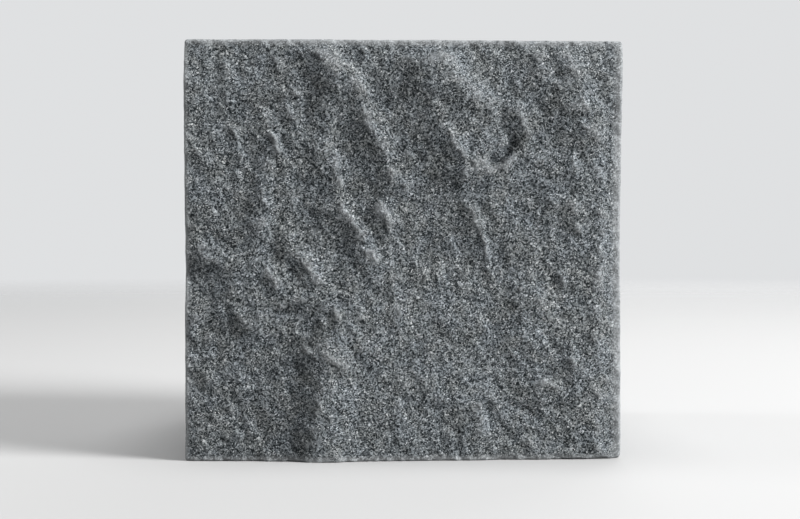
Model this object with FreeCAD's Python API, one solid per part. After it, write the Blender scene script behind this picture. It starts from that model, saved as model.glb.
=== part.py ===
# Granite sett: one block of grey granite with five sawn faces and one face left as it split.
# Units are millimetres. The sett stands on a sawn side, with its split face towards -Y and its sawn
# bed face towards +Y. X runs across the split face and Z is up. The origin is the middle of the
# underside.
import FreeCAD, Part
import os
from collections import namedtuple
from math import ceil, hypot, pi, sin

Vector = FreeCAD.Vector

# Size of the block.
SETT_WIDTH = 100.0
SETT_HEIGHT = 96.0
# From the sawn bed face to the proudest point of the split face.
SETT_DEPTH = 94.0
# Rounding along the sawn edges, and along the worn edge all round the split face.
SAWN_ARRIS = 1.0
SPLIT_ARRIS = 0.7

# The split surface is one smooth sheet on a square net of control points. It reaches past the block
# on every side and is then trimmed by the sawn faces.
NET_PITCH = 1.4
NET_OVERHANG = 6.0
SPLINE_DEGREE = 3

# The split face leans back towards its foot: its upper half swells forward.
TOP_SWELL_RISE = 1.7
TOP_SWELL_FOOT = 45.0
TOP_SWELL_SPAN = 45.0
# It turns back a little along its top edge.
TOP_TURN_DROP = 0.8
TOP_TURN_WIDTH = 3.4
# It turns back towards its right edge, most at mid height and less near the top.
RIGHT_TURN_DROP = 1.6
RIGHT_TURN_WIDTH = 6.5
RIGHT_HOLLOW_DROP = 0.8
RIGHT_HOLLOW_MIDDLE = 50.0
RIGHT_HOLLOW_REACH = 30.0
RIGHT_EASING = 0.8
RIGHT_EASING_FOOT = 72.0
RIGHT_EASING_SPAN = 20.0
# The left edge swells forward in its upper half and is worn back at mid height.
LEFT_SWELL_RISE = 1.0
LEFT_SWELL_WIDTH = 22.0
LEFT_SWELL_FOOT = 46.0
LEFT_SWELL_TOP = 100.0
LEFT_SWELL_FADE = 14.0
LEFT_WEAR_DROP = 1.2
LEFT_WEAR_WIDTH = 12.0
LEFT_WEAR_MIDDLE = 46.0
LEFT_WEAR_REACH = 14.0

# The crests wander from their drawn lines by this much, in waves of this length.
WANDER = 0.25
WANDER_WAVE = 17.0
# Low undulation of the whole split face.
SWELL = 0.12
SWELL_WAVE = 17.0
FULL_TURN = 2 * pi

# The relief grows flatter towards the top edge, where this share of it is left. There it draws in to
# a line that runs from one height over the left part of the face to a lower one at the right edge.
TOP_EDGE_SHARE = 0.5
TOP_EDGE_BAND = 5.0
TOP_EDGE_HEIGHT = 1.7
TOP_EDGE_FALL = 0.9
TOP_EDGE_FALL_START = -10.0

# The edges of the split face, and how far the crests that cross them are drawn past them.
LEFT_EDGE = -SETT_WIDTH / 2
RIGHT_EDGE = SETT_WIDTH / 2
ABOVE_TOP = SETT_HEIGHT + 4.0
BELOW_FOOT = -4.0
LEFT_OF_EDGE = LEFT_EDGE - 4.0

# A ridge of the split face. Its crest runs downwards through points (across from the middle, up from
# the underside). It stands proud by rise and falls away over left and right, as seen from the front.
# It fades in over fade_in and out over fade_out along its crest. A scar has a negative rise.
Ridge = namedtuple("Ridge", "crest rise left right fade_in fade_out")

RIDGES = {
    # The brow falls from the top edge, left of the middle, and runs on down as two ribs.
    "brow": Ridge(
        [(-21.5, ABOVE_TOP), (-19.6, 94), (-17, 90), (-13.6, 87), (-11.2, 84), (-9.6, 81)],
        1.6, 6, 6.4, 4, 5,
    ),
    "brow_back": Ridge(
        [(-20, ABOVE_TOP), (-19.3, 92), (-18.4, 86), (-18, 80), (-17, 75)],
        1.0, 4.5, 7, 4, 5,
    ),
    "brow_tail": Ridge(
        [(-12, 84), (-9.5, 79), (-7.8, 75), (-5.6, 71.6), (-3.9, 68.5), (-3.1, 65), (-1.8, 60)],
        1.15, 6, 3.8, 5, 5,
    ),
    "rib": Ridge([(-19, 79), (-18, 73), (-16.5, 67), (-14.8, 61)], 1.0, 5.5, 3.4, 7, 3),
    "rib_foot": Ridge(
        [(-17.8, 61.4), (-15.9, 57), (-12.8, 54.2), (-10.2, 51.6), (-9.2, 49.6), (-10.6, 46.5), (-12.8, 34)],
        1.2, 6.5, 3.6, 4, 7,
    ),
    "facet": Ridge([(-8.2, 59.6), (-5.9, 56.2), (-1.6, 52.4)], 0.9, 4.4, 3.2, 3, 3),
    # The shoulder falls from the top edge at the middle, with the apron on its right.
    "shoulder": Ridge(
        [(0.5, 98), (1.6, 92), (3.5, 86), (5.8, 81), (8.8, 76), (11.4, 71.5), (13.4, 66), (14, 60)],
        1.4, 8.5, 20, 9, 6,
    ),
    "shoulder_foot": Ridge([(13.2, 68), (14.2, 60), (15.5, 54), (17, 47)], 0.8, 5.5, 14, 6, 7),
    "shoulder_lip": Ridge(
        [(7.2, 77.8), (9.2, 75.2), (11, 72.4), (12.4, 69.6), (13.8, 66), (14.2, 63)],
        0.45, 3.4, 2, 3, 3,
    ),
    "shoulder_edge": Ridge([(11.6, 72.5), (13.4, 69.8), (16, 67.6), (20.5, 64.8)], 0.6, 3, 3.2, 2, 3),
    "apron": Ridge(
        [(5.5, ABOVE_TOP), (7.5, 92.5), (10.5, 88), (14.2, 84.6), (18, 82), (23.5, 80.2)],
        1.3, 7, 5.2, 4, 4,
    ),
    "wire": Ridge([(15, 61), (15.6, 56), (17.2, 52), (19.6, 46.5)], 0.45, 2.4, 1.8, 3, 3),
    # The hooked scar right of the apron, below the wall that it was struck from.
    "scar_wall": Ridge([(25, 83), (25, 79), (25.5, 76), (26.8, 73.4)], 1.0, 3.8, 12, 3, 1.2),
    "scar": Ridge(
        [(24, 81.5), (24, 77.5), (24.6, 75), (25.7, 73), (24.2, 70.9), (22, 69.3), (19.2, 67.6)],
        -1.2, 2.4, 1.5, 2.5, 2,
    ),
    # The keel stands on the foot of the block, left of the middle.
    "keel": Ridge([(-16.5, 31), (-18.6, 25.5), (-19.6, 16), (-20.2, BELOW_FOOT)], 1.9, 7.2, 10, 7, 1),
    "keel_back": Ridge([(-7, 52), (-12, 20), (-14, BELOW_FOOT)], 2.0, 24, 42, 28, 1),
    "west": Ridge(
        [(-35.5, 92), (-34.2, 86), (-32.6, 80), (-31.2, 74), (-32, 68), (-32.5, 62), (-33, 57), (-31.5, 49)],
        0.75, 4.6, 6, 7, 7,
    ),
    "west_tail": Ridge(
        [(-28, 56), (-26.6, 51), (-24.2, 47.5), (-21.5, 45.4), (-19.6, 41), (-19, 37)],
        0.9, 4.5, 3.6, 4, 4,
    ),
    "pocket_rim": Ridge([(-33, 47.5), (-31, 44.5), (-28.5, 40.5), (-26.5, 37)], 0.75, 4, 3.4, 3, 3),
    "bench": Ridge([(-44, 42), (-38, 38), (-31, 34.5), (-24, 32), (-19, 29)], 1.4, 12, 16, 6, 5),
    "nose": Ridge(
        [(LEFT_OF_EDGE, 53), (LEFT_EDGE + 1.5, 50), (LEFT_EDGE + 4.5, 47), (-41.5, 44.6), (-37, 43.5)],
        0.9, 4, 6, 2, 4,
    ),
    "nose_foot": Ridge([(LEFT_OF_EDGE, 36), (LEFT_EDGE + 1, 34.3), (LEFT_EDGE + 4.5, 33)], 0.8, 6, 5, 1, 2),
    "east": Ridge([(39.6, 95), (40.2, 86), (40.6, 82), (42.2, 76), (43.5, 70)], 1.15, 9, 4, 5, 5),
    "east_brow": Ridge([(29, 66.8), (34, 66.5), (40, 65.4), (45, 63.5)], 0.5, 3.2, 5, 3, 3),
    "east_sill": Ridge([(30, 60), (35, 58.8), (43, 58.4)], 0.5, 7, 3, 3, 4),
    "ledge": Ridge([(24, 38), (28, 36.4), (31.5, 35.6), (34.5, 33)], 0.55, 4, 3.2, 3, 3),
    "foot": Ridge(
        [(0, 17.5), (4, 17), (8, 15.6), (12.5, 12.5), (14.5, 6), (15.5, BELOW_FOOT)],
        0.6, 4, 8, 5, 1,
    ),
    "hollow_rim": Ridge([(30.5, 41), (28.5, 36), (27, 30), (27.5, 25)], 0.8, 8, 9, 4, 4),
    "mid_swell": Ridge([(-3, 37), (-1, 32), (1, 28)], 0.5, 8, 8, 3, 3),
    "toe": Ridge([(35, 25), (41, 17), (46, 10)], 0.5, 4.5, 5, 5, 5),
}


def ease(share):
    """A share from 0 to 1, eased so that it leaves 0 and reaches 1 without a crease."""
    share = min(max(share, 0.0), 1.0)
    return share * share * (3.0 - 2.0 * share)


def nearest_on_crest(crest, x, z):
    """From a point to a crest: the distance, the side (above 0 is right), how far along, and of how long."""
    distance = None
    run = 0.0
    for (x0, z0), (x1, z1) in zip(crest, crest[1:]):
        length = hypot(x1 - x0, z1 - z0)
        step_x = (x1 - x0) / length
        step_z = (z1 - z0) / length
        reach = min(max((x - x0) * step_x + (z - z0) * step_z, 0.0), length)
        off_x = x - x0 - reach * step_x
        off_z = z - z0 - reach * step_z
        if distance is None or hypot(off_x, off_z) < distance:
            distance = hypot(off_x, off_z)
            side = step_x * off_z - step_z * off_x
            along = run + reach
        run += length
    return distance, side, along, run


def ridge_height(ridge, x, z):
    """How far one ridge stands proud at a point of the split face."""
    distance, side, along, length = nearest_on_crest(ridge.crest, x, z)
    width = ridge.right if side > 0 else ridge.left
    fade = ease(along / ridge.fade_in) * ease((length - along) / ridge.fade_out)
    return ridge.rise * fade * ease(1.0 - distance / width)


def bump(place, middle, reach):
    """A share that is 1 at the middle and eases to 0 a reach away on either side."""
    return ease(1.0 - abs(place - middle) / reach)


def right_turn(x, z):
    """How far the face is turned back near its right edge."""
    drop = RIGHT_TURN_DROP + RIGHT_HOLLOW_DROP * bump(z, RIGHT_HOLLOW_MIDDLE, RIGHT_HOLLOW_REACH)
    easing = 1.0 - RIGHT_EASING * ease((z - RIGHT_EASING_FOOT) / RIGHT_EASING_SPAN)
    return drop * easing * bump(x, RIGHT_EDGE, RIGHT_TURN_WIDTH)


def left_swell(x, z):
    """How far the face stands forward near its left edge, less what is worn back there."""
    rising = ease((z - LEFT_SWELL_FOOT) / LEFT_SWELL_FADE)
    falling = ease((LEFT_SWELL_TOP - z) / LEFT_SWELL_FADE)
    swell = LEFT_SWELL_RISE * bump(x, LEFT_EDGE, LEFT_SWELL_WIDTH) * rising * falling
    across_wear = bump(x, LEFT_EDGE, LEFT_WEAR_WIDTH)
    return swell - LEFT_WEAR_DROP * across_wear * bump(z, LEFT_WEAR_MIDDLE, LEFT_WEAR_REACH)


def broad_height(x, z):
    """The forward upper half, the turns at the edges and the low undulation."""
    top_swell = TOP_SWELL_RISE * ease((z - TOP_SWELL_FOOT) / TOP_SWELL_SPAN)
    top_turn = TOP_TURN_DROP * bump(z, SETT_HEIGHT, TOP_TURN_WIDTH)
    phase = FULL_TURN / SWELL_WAVE
    undulation = SWELL * sin(phase * (x + 0.6 * z)) * sin(phase * (0.5 * z - 0.2 * x))
    return top_swell - top_turn + left_swell(x, z) - right_turn(x, z) + undulation


def calmed(height, x, z):
    """The height of the relief, drawn in towards the line of the top edge where it is close to it."""
    share = TOP_EDGE_SHARE + (1.0 - TOP_EDGE_SHARE) * ease((SETT_HEIGHT - z) / TOP_EDGE_BAND)
    fall = ease((x - TOP_EDGE_FALL_START) / (RIGHT_EDGE - TOP_EDGE_FALL_START))
    line = TOP_EDGE_HEIGHT - TOP_EDGE_FALL * fall
    return line + (height - line) * share


def split_height(x, z):
    """How far the split face stands proud of its mean plane at a point."""
    phase = FULL_TURN / WANDER_WAVE
    wandered_x = x + WANDER * sin(phase * (z + 0.3 * x))
    wandered_z = z + WANDER * sin(phase * (x - 0.4 * z))
    ridges = sum(ridge_height(ridge, wandered_x, wandered_z) for ridge in RIDGES.values())
    return calmed(broad_height(x, z) + ridges, x, z)


def net_line(low, high):
    """Evenly spaced places from low to high, no further apart than the net's pitch."""
    spans = ceil((high - low) / NET_PITCH)
    return [low + (high - low) * i / spans for i in range(spans + 1)]


def clamped_knots(count):
    """Knots and their multiplicities for a clamped spline line with that many control points."""
    inner = count - SPLINE_DEGREE - 1
    knots = [float(i) for i in range(inner + 2)]
    multiplicities = [SPLINE_DEGREE + 1] + [1] * inner + [SPLINE_DEGREE + 1]
    return knots, multiplicities


def split_sheet():
    """The split surface as one spline face. Its proudest point over the block is at half the depth."""
    across = net_line(LEFT_EDGE - NET_OVERHANG, RIGHT_EDGE + NET_OVERHANG)
    up = net_line(-NET_OVERHANG, SETT_HEIGHT + NET_OVERHANG)
    net = [[Vector(x, -split_height(x, z), z) for z in up] for x in across]
    knots_x, multiplicities_x = clamped_knots(len(across))
    knots_z, multiplicities_z = clamped_knots(len(up))
    surface = Part.BSplineSurface()
    surface.buildFromPolesMultsKnots(
        net, multiplicities_x, multiplicities_z, knots_x, knots_z, False, False, SPLINE_DEGREE, SPLINE_DEGREE
    )
    sheet = surface.toShape()
    window = Part.makeBox(SETT_WIDTH, SETT_DEPTH, SETT_HEIGHT, Vector(LEFT_EDGE, -SETT_DEPTH / 2, 0))
    proudest = sheet.common(window).optimalBoundingBox().YMin
    sheet.translate(Vector(0, -SETT_DEPTH / 2 - proudest, 0))
    return sheet


def sawn_bar():
    """The sawn bar that the block was split from: its long edges and its bed edges are rounded."""
    corner = Vector(LEFT_EDGE, -1.5 * SETT_DEPTH, 0)
    bar = Part.makeBox(SETT_WIDTH, 2 * SETT_DEPTH, SETT_HEIGHT, corner)
    rounded = [edge for edge in bar.Edges if edge.BoundBox.YMax > 0]
    return bar.makeFillet(SAWN_ARRIS, rounded)


def granite_sett():
    """The finished block: the bar behind the split surface, with the edge of the split face worn round."""
    behind_split = split_sheet().extrude(Vector(0, 2 * SETT_DEPTH, 0))
    block = sawn_bar().common(behind_split).Solids[0]
    split_face = min(block.Faces, key=lambda face: face.BoundBox.YMin + face.BoundBox.YMax)
    return block.makeFillet(SPLIT_ARRIS, split_face.Edges)


def main():
    """Writes the sett as one STEP file."""
    os.makedirs("parts", exist_ok=True)
    sett = granite_sett()
    box = sett.optimalBoundingBox()
    print("valid", sett.isValid(), "solids", len(sett.Solids), "volume cm3", round(sett.Volume / 1000, 2))
    print("box", [round(v, 3) for v in (box.XMin, box.XMax, box.YMin, box.YMax, box.ZMin, box.ZMax)])
    sett.exportStep("parts/sett.step")


main()
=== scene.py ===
"""The granite sett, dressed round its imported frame.

The block stands on a sawn side with its split face towards -Y. The frame gives its box and the broad
relief of the split face. This file adds the small crests, the broken grain, the worn arrises, the
chips and the granite. Blender's own values are in metres. The relief is worked out in millimetres.
"""

import logging
from collections.abc import Callable
from dataclasses import dataclass, field
from enum import Enum
from math import cos, hypot, pi, radians, sin, tan

import bpy
import numpy as np
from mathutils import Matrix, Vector, noise
from mathutils.bvhtree import BVHTree


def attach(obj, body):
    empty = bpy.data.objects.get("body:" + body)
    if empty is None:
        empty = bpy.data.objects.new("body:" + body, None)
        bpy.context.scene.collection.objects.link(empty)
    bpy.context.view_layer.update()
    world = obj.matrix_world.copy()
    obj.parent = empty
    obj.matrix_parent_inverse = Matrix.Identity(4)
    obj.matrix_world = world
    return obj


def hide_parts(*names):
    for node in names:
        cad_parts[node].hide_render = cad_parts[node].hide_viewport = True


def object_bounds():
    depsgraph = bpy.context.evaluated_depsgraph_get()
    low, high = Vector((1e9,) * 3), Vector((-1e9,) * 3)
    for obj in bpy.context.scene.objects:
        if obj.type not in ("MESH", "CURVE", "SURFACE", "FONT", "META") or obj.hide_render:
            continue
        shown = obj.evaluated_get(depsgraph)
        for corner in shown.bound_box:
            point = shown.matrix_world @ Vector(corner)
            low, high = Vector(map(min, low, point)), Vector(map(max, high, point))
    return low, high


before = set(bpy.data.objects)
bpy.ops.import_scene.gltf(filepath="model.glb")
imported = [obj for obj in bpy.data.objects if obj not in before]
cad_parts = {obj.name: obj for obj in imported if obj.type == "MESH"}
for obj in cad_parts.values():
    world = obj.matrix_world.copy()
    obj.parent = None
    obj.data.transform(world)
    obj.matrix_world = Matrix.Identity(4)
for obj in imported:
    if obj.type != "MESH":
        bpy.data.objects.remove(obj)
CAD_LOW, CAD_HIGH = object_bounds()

LOG = logging.getLogger("granite_sett")

NODE = "sett"
BODY = "root"
MM = 0.001
LEFT, RIGHT = CAD_LOW.x / MM, CAD_HIGH.x / MM
FOOT, TOP = CAD_LOW.z / MM, CAD_HIGH.z / MM
FRONT = CAD_LOW.y / MM

Colour = tuple[float, float, float, float]
Point = tuple[float, float]
Span = tuple[float, float]

WHITE: Colour = (1.0, 1.0, 1.0, 1.0)

# Where a bell curve is cut off, in its own widths.
BELL_REACH = 3.0

# What counts as no distance, in millimetres or in samples.
TOUCHING = 0.001

# A face of the plain box looks to the front where its normal's Y lies below this.
FRONTAL = -0.5


class Surface(Enum):
    """The two ways that the stone's faces were made, as material slots of the block."""

    SPLIT = 0
    SAWN = 1


def smooth_share(share: np.ndarray) -> np.ndarray:
    """Holds shares between 0 and 1 and eases them, so that they leave 0 and reach 1 without a crease.

    Args:
        share: Any numbers.

    Returns:
        The eased shares.
    """
    held = np.clip(share, 0.0, 1.0)
    return held * held * (3.0 - 2.0 * held)


def blurred(grid: np.ndarray, sigma: float) -> np.ndarray:
    """Smooths a grid of heights by a bell curve, with its borders held.

    Args:
        grid: The heights.
        sigma: The bell's width, in cells.

    Returns:
        The smoothed heights.
    """
    reach = max(1, int(round(BELL_REACH * sigma)))
    bell = np.exp(-0.5 * (np.arange(-reach, reach + 1) / sigma) ** 2)
    bell /= bell.sum()
    padded = np.pad(grid, reach, mode="edge")
    across = np.apply_along_axis(lambda line: np.convolve(line, bell, mode="valid"), 0, padded)
    return np.apply_along_axis(lambda line: np.convolve(line, bell, mode="valid"), 1, across)


def samples_near(samples: np.ndarray, places: tuple[float, ...], spread: float) -> np.ndarray:
    """Finds the samples along one axis that lie among some places or close to them.

    Args:
        samples: The samples' places.
        places: The places.
        spread: How far outside the places a sample may lie.

    Returns:
        The samples' numbers.
    """
    return np.flatnonzero((samples > min(places) - spread) & (samples < max(places) + spread))


@dataclass(frozen=True)
class Crest:
    """One crest or groove of the split face, with its sizes in millimetres.

    Attributes:
        line: Its points (across, up), drawn downwards or to the right.
        rise: How far it stands proud, or below 0 how deep it is.
        left: How far it falls away on its left or lower side, as seen from the front.
        right: How far it falls away on its right or upper side.
        fade: How far along it takes to rise at either end.
    """

    line: tuple[Point, ...]
    rise: float
    left: float
    right: float
    fade: float = 1.7

    def height(self, x: np.ndarray, z: np.ndarray) -> np.ndarray:
        """Gives how far the crest stands proud.

        Args:
            x: Places across, in millimetres.
            z: Places up, in millimetres.

        Returns:
            Heights in millimetres.
        """
        gap = np.full(x.shape, np.inf)
        side = np.zeros(x.shape)
        along = np.zeros(x.shape)
        length = 0.0
        for (x0, z0), (x1, z1) in zip(self.line, self.line[1:]):
            stretch = hypot(x1 - x0, z1 - z0)
            step_x, step_z = (x1 - x0) / stretch, (z1 - z0) / stretch
            reach = np.clip((x - x0) * step_x + (z - z0) * step_z, 0.0, stretch)
            off_x, off_z = x - x0 - reach * step_x, z - z0 - reach * step_z
            distance = np.hypot(off_x, off_z)
            nearer = distance < gap
            gap = np.where(nearer, distance, gap)
            side = np.where(nearer, step_x * off_z - step_z * off_x, side)
            along = np.where(nearer, length + reach, along)
            length += stretch
        width = np.where(side > 0.0, self.right, self.left)
        ends = smooth_share(along / self.fade) * smooth_share((length - along) / self.fade)
        return self.rise * ends * smooth_share(1.0 - gap / width)


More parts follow.
